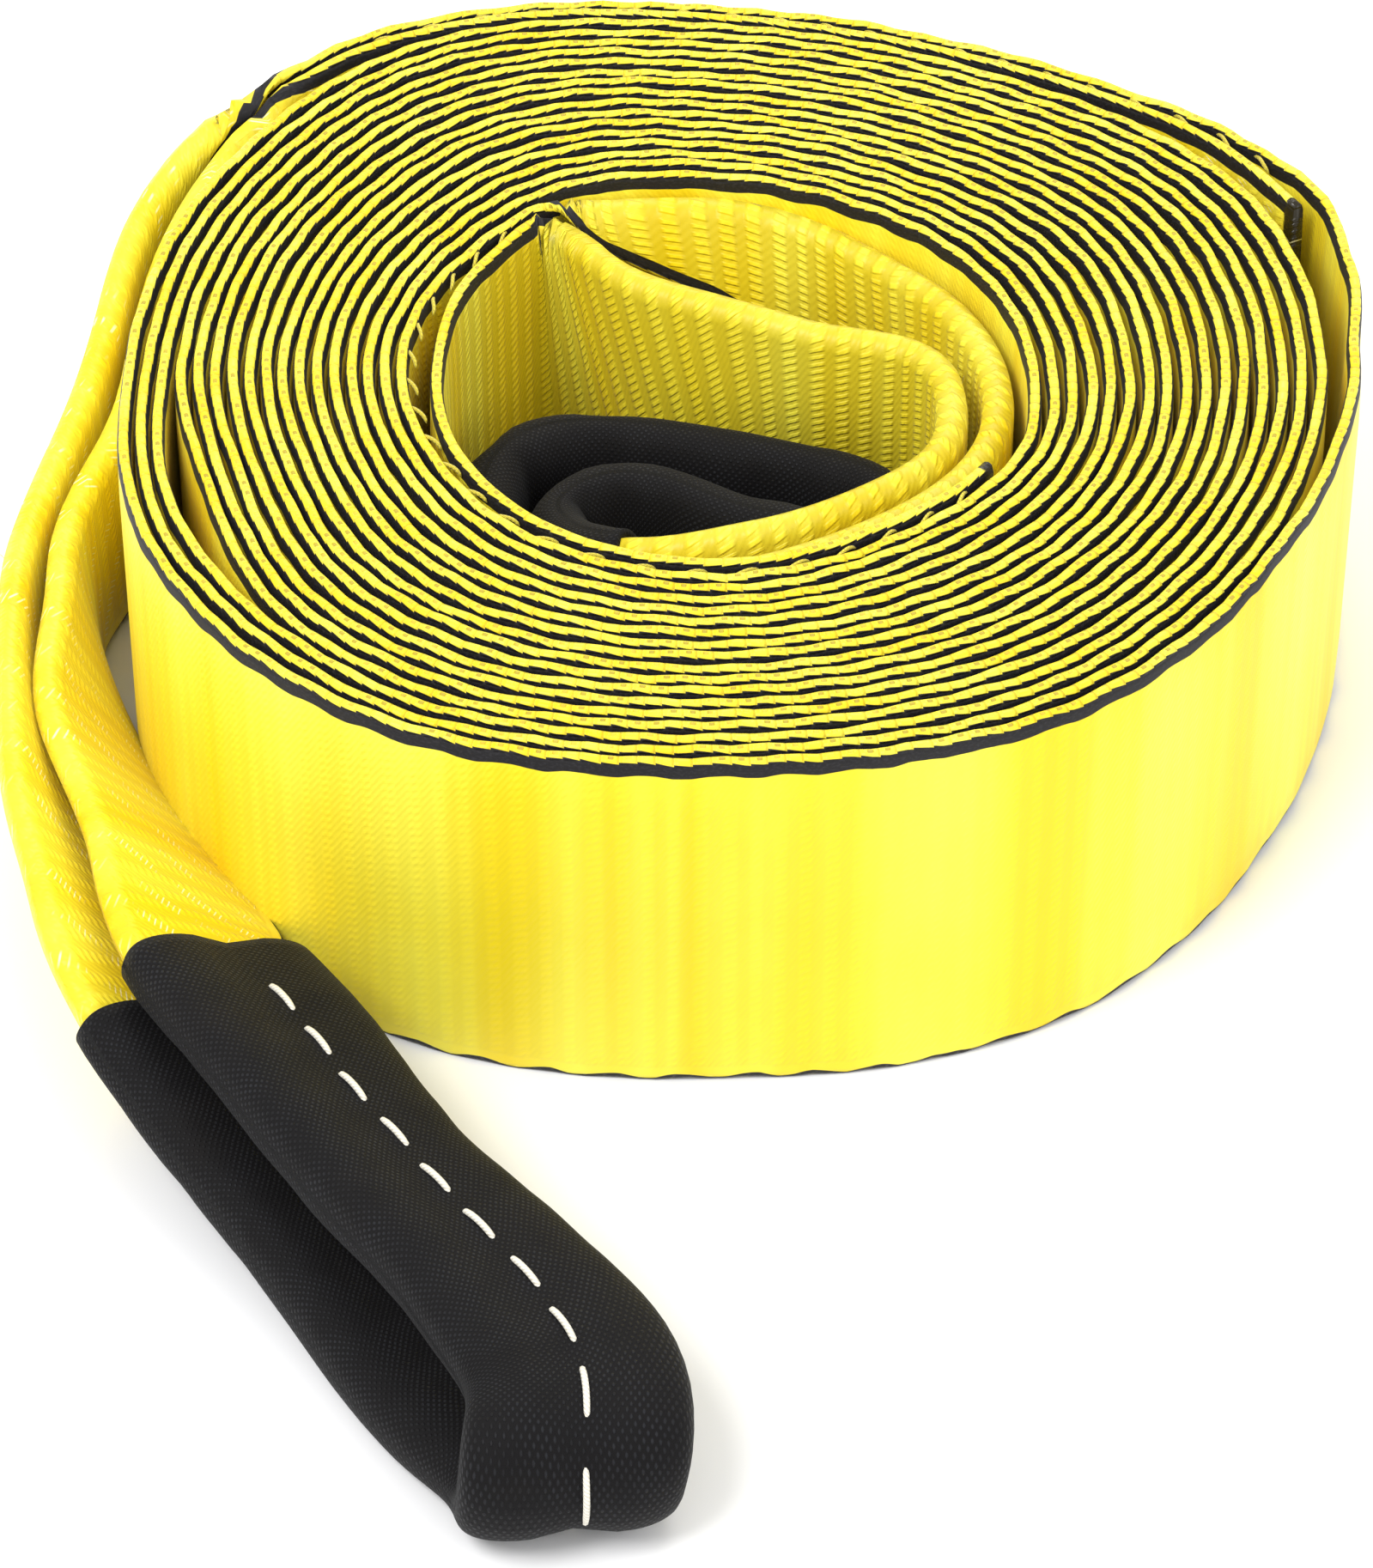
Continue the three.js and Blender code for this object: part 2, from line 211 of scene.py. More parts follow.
@dataclass(frozen=True)
class WebbingFinish:
    """Satin yellow polyester webbing with a black stripe near each edge."""

    lemon: RGB = (0.97, 0.88, 0.07)
    gold: RGB = (0.9, 0.68, 0.004)
    painted_shade: RGB = (0.42, 0.31, 0.006)
    stripe: RGB = (0.006, 0.005, 0.006)
    stripe_glint: RGB = (0.05, 0.047, 0.055)
    melted: RGB = (0.02, 0.015, 0.006)
    glint: RGB = (1, 1, 0.75)
    width: float = 50.8
    stripe_top: float = 0.5
    stripe_bottom: float = 2.2
    link: float = 2.15
    ripple: float = 8.2
    yarn_pitch: float = 1.15
    rib_pitch: float = 3.1
    eye_length: float = 620
    melt_length: float = 2.2

    def material(self, length: float) -> bpy.types.Material:
        """The finish of a strip that is length millimetres long."""
        g = Graph("yellow_webbing")
        u, v = g.along_and_across()
        edge = self.width / 2 - v.size()
        slow = g.noise_on_strip(9.0, 400.0)
        teeth = ((u + slow * 1.6) / self.link).part()
        ripple = ((u + slow * 5.0) / self.ripple).wave()
        # The lower stripe is rolled under, so only a thin broken line of it shows
        under = 1 - v.step(-1.0, 1.0)
        top = teeth * -0.2 + ripple * 0.12 + self.stripe_top - under * 0.5
        bottom = ((u + slow * 7.0) / self.ripple).wave() * (0.22 + under * 0.3) + (self.stripe_bottom - 0.1)
        bottom = bottom - under * 1.6
        stripe = edge.step(top - 0.05, top + 0.05) * (1 - edge.step(bottom - 0.05, bottom + 0.05))
        # The chain of edge loops, with a hole between two links and a slit where links meet, both given
        # painted shade below
        hole = (1 - (teeth - 0.5).size().step(0.1, 0.2)) * (1 - edge.step(0.1, 0.2)) * slow.step(0.4, 0.55)
        seam = (1 - teeth.step(0.0, 0.16)) * (1 - edge.step(0.4, 0.6))
        chain = (1 - edge.step(0.5, 0.75)) * (1 - ((teeth - 0.5) * 2).size().step(0.5, 1.0))
        # Painted sheen: broad bands of lighter lemon and deeper gold across the strip stand in for the
        # satin's sheen; the same bands also vary the roughness
        sheen_bands = g.noise_on_strip(16.0, 600.0, 3.0)
        yellow = g.mix(sheen_bands.step(0.35, 0.65), self.lemon, self.gold)
        cloudy = g.noise(0.035, detail=3.0)
        yellow = g.mix(cloudy.step(0.45, 0.75) * 0.35, yellow, self.gold)
        # Columns of short slanting yarns, plain where the webbing is slack and faint where it is wound tight
        face = edge.step(2.0, 2.6)
        outer = 1 - u.step(self.eye_length, self.eye_length + 60)
        slack = 1 - (length - u).step(self.eye_length - 60, self.eye_length) + outer * 0.35
        column = ((u + slow * 2.5) / self.rib_pitch).wave()
        yarn = (v / self.yarn_pitch + u / self.rib_pitch).wave()
        woven = column.step(0.15, 0.85) * (0.45 + 0.55 * yarn.step(0.2, 0.8))
        # Painted shade in the valleys between the yarn columns
        yellow = g.mix((1 - woven) * face * (slack * 0.4 + 0.1), yellow, self.painted_shade)
        # Painted shade in the holes and slits of the edge chain
        yellow = g.mix((hole * 0.95).most(seam * 0.5), yellow, self.painted_shade)
        # Painted highlight: glinting spots on the black stripe
        glint_spots = g.noise_on_strip(0.5, 0.3).step(0.45, 0.7)
        stripe_tone = g.mix(glint_spots * 0.25, self.stripe, self.stripe_glint)
        colour = g.mix(stripe, yellow, stripe_tone)
        ragged = g.noise_on_strip(1.5, 1.5) * 1.6
        from_end = u.least(length - u) - ragged
        melt = 1 - from_end.step(self.melt_length * 0.35, self.melt_length * 0.6)
        colour = g.mix(melt, colour, self.melted)
        fine = (u / 0.8 + v * 0.8).wave()
        relief = face * (woven * (slack * 0.7 + 0.12) + fine * 0.08) + chain * 0.5 - hole * 0.4 - seam * 0.2
        # Loose yarns on the outer eye catch the light in slanting rows
        rows = (u / 6.5 + v / 9.0).wave().step(0.72, 0.95) * (u / 1.9 - v / 0.9).wave().step(0.8, 0.97)
        patches = g.noise_on_strip(6.0, 5.0).step(0.45, 0.6)
        colour = g.mix(rows * outer * face * patches * 0.7, colour, self.glint)
        gloss = 0.43 + (sheen_bands - 0.5) * 0.25 + stripe * 0.16 - melt * 0.15
        return g.surface(
            {
                "Base Color": colour,
                "Roughness": gloss,
                "Normal": g.bump(relief, 0.4, 0.9),
                "Sheen Weight": 0.05,
                "Sheen Roughness": 0.4,
                "Specular IOR Level": 0.35,
            }
        )


@dataclass(frozen=True)
class SleeveFinish:
    """Black basket-woven cloth with a soft grey shine on its yarns."""

    yarn: RGB = (0.0035, 0.003, 0.0034)
    glint: RGB = (0.02, 0.021, 0.025)
    dust: RGB = (0.02, 0.015, 0.01)
    pitch: float = 0.95

    def material(self) -> bpy.types.Material:
        """The finish as a material."""
        g = Graph("black_sleeve_cloth")
        u, v = g.along_and_across()
        wobble = g.noise_on_strip(4.0, 4.0) * 0.5
        a = ((u + wobble) / self.pitch + v / self.pitch).wave()
        b = ((u + wobble) / self.pitch - v / self.pitch).wave()
        over = (a * b).step(0.15, 0.8)
        # Painted highlight: grey glints on the yarns that cross over, in patches
        glint_spots = g.noise_on_strip(5.0, 5.0, 4.0)
        colour = g.mix(over * glint_spots.step(0.25, 0.75) * 0.75, self.yarn, self.glint)
        colour = g.mix(g.noise(0.06, detail=4.0).step(0.55, 0.8) * 0.12, colour, self.dust)
        relief = over * 0.8 + g.noise_on_strip(1.0, 1.0, 3.0) * 0.35
        return g.surface(
            {
                "Base Color": colour,
                "Roughness": 0.72 - over * 0.14,
                "Normal": g.bump(relief, 0.16, 0.9),
                "Sheen Weight": 0.03,
                "Sheen Roughness": 0.5,
                "Specular IOR Level": 0.15,
            }
        )


@dataclass(frozen=True)
class ThreadFinish:
    """Twisted sewing thread of one colour."""

    name: str
    colour: RGB
    groove_shade: RGB
    roughness: float = 0.6

    def material(self) -> bpy.types.Material:
        """The finish as a material."""
        g = Graph(self.name)
        u, v = g.along_and_across()
        twist = (u / 0.55 + v / 0.9).wave()
        # Painted shade in the grooves of the twist
        colour = g.mix((1 - twist).step(0.45, 1.0) * 0.5, self.colour, self.groove_shade)
        return g.surface(
            {
                "Base Color": colour,
                "Roughness": self.roughness,
                "Normal": g.bump(twist, 0.08, 0.8),
                "Sheen Weight": 0.2,
            }
        )


@dataclass(frozen=True)
class FloorFinish:
    """The plain pale floor of the studio."""

    colour: RGB = (0.93, 0.93, 0.935)

    def material(self) -> bpy.types.Material:
        """The finish as a material."""
        g = Graph("studio_floor")
        tone = g.mix(g.noise(0.002), self.colour, tuple(c * 0.985 for c in self.colour))
        return g.surface({"Base Color": tone, "Roughness": 0.85, "Specular IOR Level": 0.1})


# Shapes


def smooth(x: np.ndarray) -> np.ndarray:
    """A smooth rise from 0 to 1 while x goes from 0 to 1."""
    x = np.clip(x, 0, 1)
    return x * x * (3 - 2 * x)


def unit(vectors: np.ndarray) -> np.ndarray:
    """Each vector at length 1."""
    return vectors / np.linalg.norm(vectors, axis=-1, keepdims=True)


def length_so_far(line: np.ndarray) -> np.ndarray:
    """Length along a line at each of its points."""
    return np.concatenate([[0], np.cumsum(np.linalg.norm(np.diff(line, axis=0), axis=1))])


def polar(degrees: np.ndarray | float, radius: np.ndarray | float) -> np.ndarray:
    """Points on the floor at angles and radii, as (..., 3)."""
    a = np.radians(degrees)
    return np.stack([radius * np.cos(a), radius * np.sin(a), np.zeros_like(a * radius)], -1)


def soft_noise(place: np.ndarray, seed: int) -> np.ndarray:
    """Smooth noise from -1 to 1 along a line, with a new value at each whole number."""
    values = np.random.default_rng(seed).uniform(-1, 1, int(place.max()) + 3)
    cell = np.floor(place).astype(int)
    return values[cell] + (values[cell + 1] - values[cell]) * smooth(place - cell)


def spline(knots: np.ndarray, at: np.ndarray, values: np.ndarray) -> np.ndarray:
    """A natural cubic spline.

    Args:
        knots: rising places of the values.
        at: places to read it at.
        values: one row for each knot.

    Returns:
        One row for each place.
    """
    h = np.diff(knots)
    count = len(knots)
    system = np.eye(count)
    right = np.zeros_like(values)
    for i in range(1, count - 1):
        system[i, i - 1 : i + 2] = h[i - 1], 2 * (h[i - 1] + h[i]), h[i]
        right[i] = 6 * ((values[i + 1] - values[i]) / h[i] - (values[i] - values[i - 1]) / h[i - 1])
    bend = np.linalg.solve(system, right)
    i = np.clip(np.searchsorted(knots, at) - 1, 0, count - 2)
    a, b = (knots[i + 1] - at)[:, None], (at - knots[i])[:, None]
    span = h[i][:, None]
    curve = (bend[i] * a**3 + bend[i + 1] * b**3) / (6 * span)
    before, after = (values[k] / span - bend[k] * span / 6 for k in (i, i + 1))
    return curve + before * a + after * b


@dataclass(frozen=True)
class Coil:
    """The wound part of the strap, in millimetres, angles anticlockwise from +X and turns counted inwards."""

    turns: int = 17
    start_angle: float = 130
    core_radius: float = 39.5
    lay: float = 2.34
    bore_shape: tuple[float, ...] = (-3.1, -4.5, -4.8, -3.0, 0.3, 0.1, 1.2, 2.2, 4.6, 4.7, 1.7, 0.5)
    outer_shape: tuple[float, ...] = (-1.7, -0.6, -5.0, -3.1, 3.7, -0.3, -2.2, 2.6, 4.9, 1.5, 1.7, -1.4)
    loose_turn: int = 3
    loose_angle: float = 203
    loose_spread: float = 24
    loose_opening: float = 3.2
    lift_angles: tuple[float, ...] = (130, 115, 75, 50, 35, 24, 14, 0, -15, -30)
    lifts: tuple[float, ...] = (3.4, 2.2, 2.2, 3.1, 4.6, 6.2, 4.4, 2, 0.6, 0)

    @property
    def outer_radius(self) -> float:
        """Mean radius of the outermost turn."""
        return self.core_radius + (self.turns - 1) * self.lay

    def angle(self, turn: np.ndarray | float) -> np.ndarray | float:
        """The angle after so many turns."""
        return self.start_angle - 360 * turn

    def turn(self, degrees: np.ndarray | float) -> np.ndarray | float:
        """The turns from the start to an angle."""
        return (self.start_angle - degrees) / 360

    @staticmethod
    def around(values: Sequence[float], degrees: np.ndarray) -> np.ndarray:
        """A smooth ring of values at equal angles, read at some angles."""
        ring = np.array(values)
        place = np.mod(degrees, 360) / 360 * len(ring)
        i = np.floor(place).astype(int)
        t = place - i
        a, b, c, d = (ring[(i + k) % len(ring)] for k in (-1, 0, 1, 2))
        return b + 0.5 * t * (c - a + t * (2 * a - 5 * b + 4 * c - d + t * (3 * (b - c) + d - a)))

    def opening(self, degrees: np.ndarray) -> np.ndarray:
        """How wide the crescent after the loose turn is."""
        away = np.abs(np.mod(degrees - self.loose_angle + 180, 360) - 180) / self.loose_spread
        return np.where(away < 1, self.loose_opening * np.cos(np.minimum(away, 1) * math.pi / 2) ** 2, 0)

    def radius(self, turn: np.ndarray | float) -> np.ndarray:
        """Radius of the webbing's middle after so many turns."""
        turn = np.asarray(turn, float)
        degrees = self.angle(turn)
        opening = self.opening(degrees)
        bore = self.around(self.bore_shape, degrees)
        span = self.outer_radius - self.core_radius + self.around(self.outer_shape, degrees) - bore - opening
        packed = self.core_radius + bore + span / (self.turns - 1) * (self.turns - turn)
        loose = np.where(turn < self.loose_turn, opening, 0)
        return packed + loose + np.where(turn < 1, self.lift(degrees), 0)

    def lift(self, degrees: np.ndarray) -> np.ndarray:
        """How far the outermost turn rides over the tail under it."""
        return eased(self.lift_angles, self.lifts, degrees)


def eased(angles: Sequence[float], values: Sequence[float], degrees: np.ndarray) -> np.ndarray:
    """Values between knots at falling angles, with soft corners."""
    knots, rising = np.array(angles)[::-1], np.array(values, float)[::-1]
    i = np.clip(np.searchsorted(knots, degrees) - 1, 0, len(knots) - 2)
    t = smooth((degrees - knots[i]) / (knots[i + 1] - knots[i]))
    return rising[i] + (rising[i + 1] - rising[i]) * t


@dataclass
class Strip:
    """Places along a flat strip: its middle line, the way its width points, and how it is folded and held."""

    LAYOUT = "strip_millimetres"
    COLUMNS = ("centre", "across", "fold", "opening", "ripple", "squeeze")

    centre: np.ndarray
    across: np.ndarray
    fold: np.ndarray
    opening: np.ndarray
    ripple: np.ndarray
    squeeze: np.ndarray

    @property
    def run(self) -> np.ndarray:
        """Length along the strip at each place."""
        return length_so_far(self.centre)

    def frames(self) -> tuple[np.ndarray, np.ndarray, np.ndarray]:
        """Unit vectors along, across and through the strip at each place."""
        along = unit(np.gradient(self.centre, axis=0))
        across = unit(self.across - np.sum(self.across * along, 1, keepdims=True) * along)
        return along, across, np.cross(along, across)

    def place(self, section: np.ndarray) -> np.ndarray:
        """Points of (across, through) pairs set out at each place, as (places, pairs, 3)."""
        _, across, through = self.frames()
        return self.centre[:, None] + section[..., :1] * across[:, None] + section[..., 1:] * through[:, None]

    @staticmethod
    def joined(parts: Sequence["Strip"]) -> "Strip":
        """One strip from parts that follow each other."""
        return Strip(*(np.concatenate([getattr(part, name) for part in parts]) for name in Strip.COLUMNS))

    def piece(self, low: int, high: int | None) -> "Strip":
        """The places from low up to high."""
        return Strip(*(getattr(self, name)[low:high] for name in self.COLUMNS))

    def reversed(self) -> "Strip":
        """The same strip from its other end."""
        return Strip(*(getattr(self, name)[::-1] for name in self.COLUMNS))


@dataclass(frozen=True)
class Webbing:
    """Two-inch webbing and how its section folds lengthwise, in millimetres."""

    width: float = 50.8
    body: float = 2.0
    edge: float = 1.5
    air: float = 0.4
    bend: float = 4.3
    grid: int = 161
    taper: float = 3.2

    def fold_places(self, fold: np.ndarray) -> np.ndarray:
        """Where across the webbing its section has points, low edge first, for a fold at the top."""
        half = self.width / 2
        crease = half * (1 - fold)[:, None]
        turn = np.array([-0.5, -0.25, 0, 0.25, 0.5]) * self.bend
        folded = np.concatenate([(crease - half) / 2, crease + turn, (crease + half) / 2], 1)
        flat = np.tile(np.linspace(-0.7, 0.7, 7) * half, (len(fold), 1))
        share = smooth(fold / 0.2)[:, None]
        inner = np.clip(flat + (folded - flat) * share, 1.6 - half, half - 1.6)
        end = np.full((len(fold), 1), half - 1.1)
        return np.concatenate([-end, inner, end], 1)

    def half_thickness(self, place: np.ndarray) -> np.ndarray:
        """Half the thickness at places across, thinner at the edges."""
        rise = smooth((self.width / 2 - np.abs(place)) / self.taper)
        return (self.edge + (self.body - self.edge) * rise) / 2

    def midline(
        self, fold: np.ndarray, opening: np.ndarray, place: np.ndarray
    ) -> tuple[np.ndarray, np.ndarray]:
        """The middle of the section and its normals, for a fold at the top.

        Args:
            fold: 0 flat to 1 folded in half, one for each station.
            opening: angle left between the two layers, in radians.
            place: places across the webbing, as (stations, places).

        Returns:
            Points and normals as (across, through) pairs.
        """
        half = self.width / 2
        grid = np.linspace(-half, half, self.grid)
        crease = half * (1 - fold)
        turned = (math.pi - opening) * smooth(fold / 0.12)
        heading = turned[:, None] * smooth((grid - crease[:, None]) / self.bend + 0.5)
        step = grid[1] - grid[0]
        path = np.stack([np.cos(heading), np.sin(heading)], -1)
        path = np.cumsum(path, 1) * step - path * step / 2
        middle = (path.max(1, keepdims=True) + path.min(1, keepdims=True)) / 2
        path -= middle
        cell = np.clip((place + half) / step, 0, self.grid - 1.001)
        i = cell.astype(int)
        t = (cell - i)[..., None]
        rows = np.arange(len(fold))[:, None]
        points = path[rows, i] * (1 - t) + path[rows, i + 1] * t
        angle = heading[rows, i]
        return points, np.stack([-np.sin(angle), np.cos(angle)], -1)

    def section(self, strip: Strip) -> tuple[np.ndarray, np.ndarray]:
        """The closed sections of a strip, from its low edge round.

        Args:
            strip: the strip's places.

        Returns:
            Points as (places, 24, 2) and how far across the webbing each lies, as (places, 24).
        """
        fold, opening = strip.fold, strip.opening
        half = self.width / 2
        place = self.fold_places(fold)
        points, normals = self.midline(fold, opening, place)
        thick = self.half_thickness(place)[..., None]
        near, far = points - normals * thick, points + normals * thick
        ends = np.tile([[-half, half]], (len(fold), 1))
        tips, tip_normals = self.midline(fold, opening, ends)
        outwards = np.stack([tip_normals[..., 1], -tip_normals[..., 0]], -1) * np.array([[-1.0], [1.0]])
        radius = self.edge / 2
        centre = tips - outwards * radius
        shoulder = [centre + (outwards + side * tip_normals) * radius * 0.72 for side in (-1, 1)]
        ring = np.concatenate(
            [
                tips[:, :1],
                shoulder[0][:, :1],
                near,
                shoulder[0][:, 1:],
                tips[:, 1:],
                shoulder[1][:, 1:],
                far[:, ::-1],
                shoulder[1][:, :1],
            ],
            1,
        )
        top, bottom = np.full((len(fold), 1), half), np.full((len(fold), 1), -half)
        side = 0.3
        across = np.concatenate(
            [bottom, bottom + side, place, top - side, top, top - side, place[:, ::-1], bottom + side], 1
        )
        return ring, across


class MeshMaker:
    """Makes Blender meshes from rings of points."""

    def __init__(self, shift: np.ndarray) -> None:
        """Keeps the way from the coil's own millimetres to the frame, in millimetres."""
        self.shift = shift

    def loft(
        self,
        name: str,
        rings: np.ndarray,
        run: np.ndarray,
        across: np.ndarray,
        capped: bool = True,
    ) -> bpy.types.Object:
        """A closed body through rings.

        Args:
            name: the object's name.
            rings: points as (stations, around, 3), in millimetres.
            run: length along, for the layout, one a station or one a point.
            across: distance across, for the layout, as (stations, around).
            capped: whether the two ends are closed by a face; otherwise the last ring meets the first.

        Returns:
            The object, linked to the scene.
        """
        count, around = rings.shape[:2]
        rows = count if not capped else count - 1
        i = np.arange(rows)[:, None]
        j = np.arange(around)[None]
        n, k = (i + 1) % count, (j + 1) % around
        quads = np.stack([i * around + j, i * around + k, n * around + k, n * around + j], -1).reshape(-1, 4)
        faces = quads.tolist()
        if capped:
            faces.append(list(range(around))[::-1])
            faces.append([(count - 1) * around + q for q in range(around)])
        mesh = bpy.data.meshes.new(name)
        mesh.from_pydata(((rings.reshape(-1, 3) + self.shift) * MM).tolist(), [], faces)
        along = np.broadcast_to(run if run.ndim == 2 else run[:, None], (count, around)).reshape(-1)
        layout = mesh.uv_layers.new(name=Strip.LAYOUT)
        corner = np.zeros(len(mesh.loops), np.int32)
        mesh.loops.foreach_get("vertex_index", corner)
        places = np.stack([along[corner], across.reshape(-1)[corner]], -1) * MM
        layout.data.foreach_set("uv", places.astype(np.float32).reshape(-1))
        mesh.polygons.foreach_set("use_smooth", np.ones(len(mesh.polygons), bool))
        mesh.update()
        made = bpy.data.objects.new(name, mesh)
        bpy.context.scene.collection.objects.link(made)
        return made

    def threads(
        self, name: str, lines: Sequence[np.ndarray], radius: float, sides: int = 7
    ) -> bpy.types.Object:
        """One mesh of round threads.

        Args:
            name: the object's name.
            lines: the middle line of each thread, as (points, 3), in millimetres.
            radius: of the thread, in millimetres.
            sides: points round a thread.

        Returns:
            The object, linked to the scene.
        """
        turn = np.linspace(0, TAU, sides, endpoint=False)
        parts = []
        for line in lines:
            along = unit(np.gradient(line, axis=0))
            side = unit(np.cross(along, [0.21, 0.33, 0.92]))
            other = np.cross(along, side)
            taper = np.sqrt(np.clip(1 - np.abs(np.linspace(-1, 1, len(line))) ** 6, 0.08, 1)) * radius
            ring = side[:, None] * np.cos(turn)[None, :, None] + other[:, None] * np.sin(turn)[None, :, None]
            rings = line[:, None] + ring * taper[:, None, None]
            steps = length_so_far(line)
            parts.append(self.loft("part", rings, steps, np.tile(turn * radius, (len(line), 1))))
        keep = parts[0]
        keep.name = keep.data.name = name
        with bpy.context.temp_override(active_object=keep, selected_editable_objects=parts):
            bpy.ops.object.join()
        return keep


# The object


def dress(piece: bpy.types.Object, material: bpy.types.Material) -> None:
    """Gives a piece its one material, and lets it ride the part's own body."""
    piece.data.materials.append(material)
    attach(piece, "root")


@dataclass
class OuterEye:
    """The eye beside the coil, from where it leaves the coil to its tail's melted end.

    Each row is an angle, the distance beyond the coil's mean radius, the rise of its lowest edge, the azimuth
    and elevation of its width, and how far it is folded.
    """

    rows: tuple[tuple[float, ...], ...] = (
        (141, 11.6, 0.4, 190, 90, 0.25),
        (150, 12.3, 0.4, 190, 90, 0.5),
        (160, 9.9, 0.4, 190, 90, 0.75),
        (170, 9.4, 0.4, 190, 90, 0.9),
        (180, 12, 0.4, 190, 90, 1),
        (193, 14.2, 0.6, 190, 84, 1),
        (208, 16.8, 1.8, 190, 60, 1),
        (214.5, 19.6, 2.4, 197, 52, 1),
        (220.4, 22.5, 2.3, 203, 45, 1),
        (226.5, 27.1, 2.3, 207, 38, 1),
        (230.3, 29.6, 2, 208, 32, 1),
        (243.7, 40.2, 1.6, 210, 15, 1),
        (254.1, 56.2, 1.5, 212, 0, 1),
        (258.8, 64.8, 1.5, 205, 0, 1),
        (261.15, 69.0, 1.7, 196, 0, 1),
        (262.6, 73.9, 1.9, 191, 0, 1),
        (263.15, 77.5, 3.6, 190, 0, 1),
        (263.37, 78.9, 7.3, 190, 0, 1),
        (263.45, 77.5, 11.0, 190, 0, 1),
        (263.4, 73.7, 12.6, 191, 0, 1),
        (262.8, 68.2, 12.8, 195, 2, 1),
        (260.6, 60.9, 12.7, 202, 4, 1),
        (257.1, 53.3, 12.4, 209, 8, 1),
        (253.2, 46.9, 12, 213, 12, 1),
        (235.9, 25.7, 11, 210, 22, 1),
        (231.2, 21.9, 9.2, 209, 26, 1),
        (222.3, 13.7, 4.5, 207, 40, 1),
        (215.4, 10.4, 3.2, 205, 46, 1),
        (204.2, 8.4, 2.4, 195, 53, 1),
        (191.8, 6.3, 0.6, 190, 75, 1),
        (180, 6.6, 0.4, 190, 90, 1),
        (170, 3.3, 0.4, 190, 90, 0.9),
        (160, 4.4, 0.4, 190, 90, 0.75),
        (150, 6.2, 0.4, 190, 90, 0.5),
        (141, 6.4, 0.4, 190, 90, 0.25),
    )
    mouths: tuple[int, int] = (10, 25)
    squeeze: float = 0.17
    tail_angles: tuple[float, ...] = (130, 50, 23)
    tail_gaps: tuple[float, ...] = (0, 0, 1.6)

    def places(self, coil: Coil, webbing: Webbing) -> tuple[np.ndarray, ...]:
        """The middle line, width vectors and folds at the rows."""
        r = np.array(self.rows)
        width, thick = webbing.width * (1 - r[:, 5] / 2), 2.2 * (1 + r[:, 5]) + webbing.air * r[:, 5]
        tilt = np.radians(r[:, 4])
        centre = polar(r[:, 0], coil.outer_radius + r[:, 1])
        centre[:, 2] = r[:, 2] + width / 2 * np.sin(tilt) + thick / 2 * np.cos(tilt)
        across = polar(r[:, 3], np.cos(tilt))
        across[:, 2] = np.sin(tilt)
        return centre, across, r[:, 5]


@dataclass
class InnerEye:
    """The eye in the coil's bore: x and y in shares of the core's radius, rise and fold."""

    rows: tuple[tuple[float, ...], ...] = (
        (-0.39, 0.85, 2.5, 0.15),
        (-0.15, 0.85, 8, 0.4),
        (0.215, 0.81, 14, 0.7),
        (0.53, 0.63, 19, 0.95),
        (0.745, 0.35, 21, 1),
        (0.855, 0, 21, 1),
        (0.77, -0.44, 21, 1),
        (0.44, -0.77, 21, 1),
        (0, -0.95, 20, 1),
        (-0.4, -0.86, 16, 1),
        (-0.66, -0.55, 12, 1),
        (-0.775, -0.21, 11, 1),
        (-0.64, 0.05, 11, 1),
        (-0.36, 0.1, 11, 1),
        (0, 0.02, 11, 1),
        (0.36, -0.1, 11, 1),
        (0.48, -0.18, 11, 1),
        (0.505, -0.29, 11, 1),
        (0.43, -0.385, 11, 1),
        (0.28, -0.39, 11, 1),
        (0, -0.3, 11, 1),
        (-0.23, -0.17, 11, 1),
        (-0.43, -0.18, 11, 1),
        (-0.545, -0.315, 11, 1),
        (-0.505, -0.465, 12, 1),
        (-0.415, -0.6, 14, 1),
        (-0.2, -0.73, 18, 1),
        (0.13, -0.72, 20, 1),
        (0.48, -0.555, 21, 1),
        (0.66, -0.37, 21, 1),
        (0.71, -0.1, 21, 1),
        (0.68, 0.06, 21, 1),
        (0.595, 0.165, 21, 1),
        (0.355, 0.24, 21, 1),
        (0.18, 0.3, 20, 0.95),
        (-0.025, 0.405, 16, 0.75),
        (-0.25, 0.545, 10, 0.5),
        (-0.43, 0.7, 4, 0.25),
    )
    mouths: tuple[int, int] = (10, 26)
    squeeze: float = 0.0
    tail_angles: tuple[float, ...] = (324, 285, 215, 180, 150, 130)
    tail_gaps: tuple[float, ...] = (0, 0.3, 0.6, 2.3, 0.8, 0)

    def places(self, coil: Coil, webbing: Webbing) -> tuple[np.ndarray, ...]:
        """The middle line, width vectors and folds at the rows."""
        r = np.array(self.rows)
        centre = np.zeros((len(r), 3))
        centre[:, :2] = r[:, :2] * coil.core_radius
        centre[:, 2] = r[:, 2] + webbing.width * (1 - r[:, 3] / 2) / 2
        return centre, np.tile([0.0, 0.0, 1.0], (len(r), 1)), r[:, 3]


